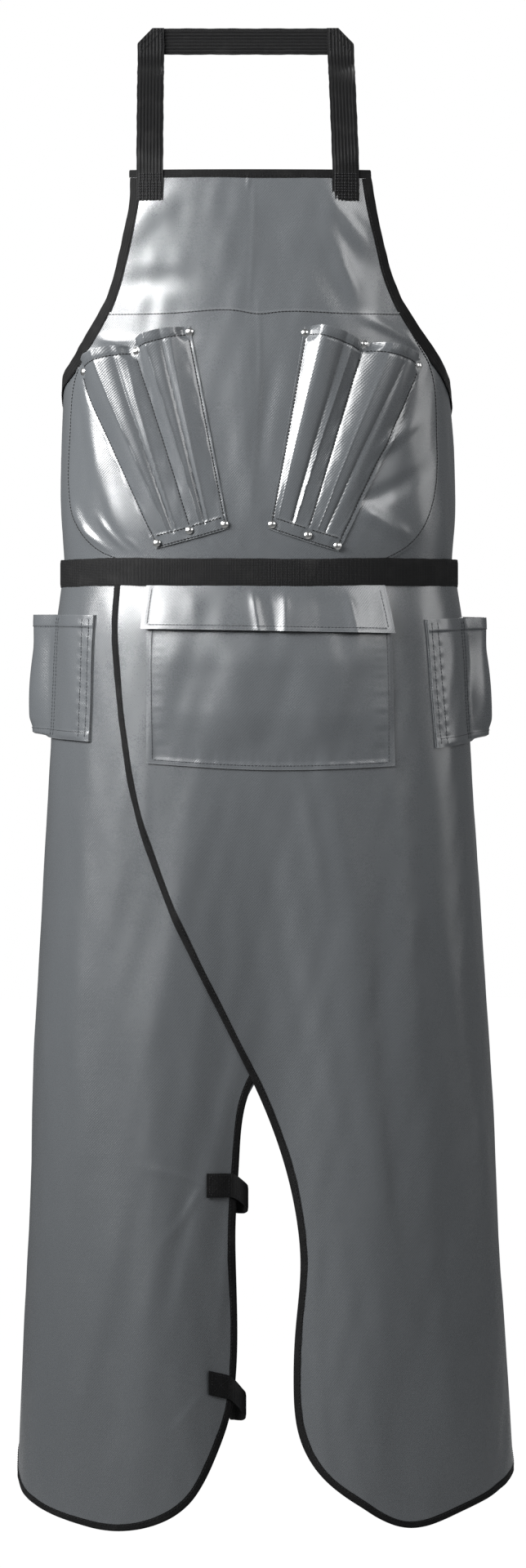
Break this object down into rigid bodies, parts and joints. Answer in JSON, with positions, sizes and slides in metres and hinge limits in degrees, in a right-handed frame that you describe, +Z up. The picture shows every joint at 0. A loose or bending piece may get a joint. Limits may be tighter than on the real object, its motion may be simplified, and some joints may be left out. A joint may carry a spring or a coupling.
{
  "type": "welding apron",
  "caption": "Full-length split-leg welding apron of coated cloth with bound edges, chest tool pockets, flap pocket, hip pouches, webbing neck loop, belt and buckled leg straps.",
  "frame": {"origin": "centre of the wearer's waist, level with the middle of the belt", "axes": "+Z up, -Y out of the front of the apron, +X to the right as its front is looked at"},
  "size_m": [0.457, 0.2531, 1.382],
  "materials": {
    "coated_cloth": "glossy grey coated cloth over a fine woven scrim",
    "binding_tape": "black folded binding tape",
    "webbing": "black ribbed webbing",
    "rivet_metal": "bright plated domed cap",
    "buckle_plastic": "black moulded plastic, fine satin grain"
  },
  "bodies": {
    "apron": {"bib_panel": "coated_cloth", "chest_patch": "coated_cloth", "left_leg_panel": "coated_cloth", "right_leg_panel": "coated_cloth", "front_pocket": "coated_cloth", "left_tool_pocket": "coated_cloth", "right_tool_pocket": "coated_cloth", "left_pouch_back": "coated_cloth", "left_pouch_front": "coated_cloth", "right_pouch_back": "coated_cloth", "right_pouch_front": "coated_cloth", "bib_top_binding": "binding_tape", "bib_left_binding": "binding_tape", "bib_right_binding": "binding_tape", "left_leg_binding": "binding_tape", "right_leg_binding": "binding_tape", "left_neck_strap_end": "webbing", "right_neck_strap_end": "webbing", "waist_belt": "webbing", "left_leg_upper_strap": "webbing", "left_leg_lower_strap": "webbing", "right_leg_upper_strap": "webbing", "right_leg_lower_strap": "webbing", "left_pocket_rivets": "rivet_metal", "right_pocket_rivets": "rivet_metal", "left_rivet_washers": "rivet_metal", "right_rivet_washers": "rivet_metal", "waist_buckle_socket": "buckle_plastic", "left_leg_upper_socket": "buckle_plastic", "left_leg_lower_socket": "buckle_plastic", "right_leg_upper_socket": "buckle_plastic", "right_leg_lower_socket": "buckle_plastic"},
    "neck_loop": {"neck_strap": "webbing"},
    "flap": {"pocket_flap": "coated_cloth"},
    "waist_plug": {"waist_buckle_plug": "buckle_plastic", "waist_adjuster_strap": "webbing"},
    "left_leg_upper_release": {"left_leg_upper_plug": "buckle_plastic", "left_leg_upper_tab": "webbing"},
    "left_leg_lower_release": {"left_leg_lower_plug": "buckle_plastic", "left_leg_lower_tab": "webbing"},
    "right_leg_upper_release": {"right_leg_upper_plug": "buckle_plastic", "right_leg_upper_tab": "webbing"},
    "right_leg_lower_release": {"right_leg_lower_plug": "buckle_plastic", "right_leg_lower_tab": "webbing"}
  },
  "joints": [
    {"name": "neck_strap_fold", "type": "hinge", "parent": "apron", "child": "neck_loop", "pos_m": [-0.009, -0.0967, 0.3705], "axis": [1, 0, 0], "range_deg": [-70, 125]},
    {"name": "flap_lift", "type": "hinge", "parent": "apron", "child": "flap", "pos_m": [0.007, -0.1256, -0.013], "axis": [-1, 0, 0], "range_deg": [0, 150]},
    {"name": "waist_buckle_release", "type": "slide", "parent": "apron", "child": "waist_plug", "axis": [1, 0, 0], "range_m": [0, 0.03]},
    {"name": "left_leg_upper_buckle_release", "type": "slide", "parent": "apron", "child": "left_leg_upper_release", "axis": [-1, 0, 0], "range_m": [0, 0.03]},
    {"name": "left_leg_lower_buckle_release", "type": "slide", "parent": "apron", "child": "left_leg_lower_release", "axis": [-1, 0, 0], "range_m": [0, 0.03]},
    {"name": "right_leg_upper_buckle_release", "type": "slide", "parent": "apron", "child": "right_leg_upper_release", "axis": [1, 0, 0], "range_m": [0, 0.03]},
    {"name": "right_leg_lower_buckle_release", "type": "slide", "parent": "apron", "child": "right_leg_lower_release", "axis": [1, 0, 0], "range_m": [0, 0.03]}
  ]
}
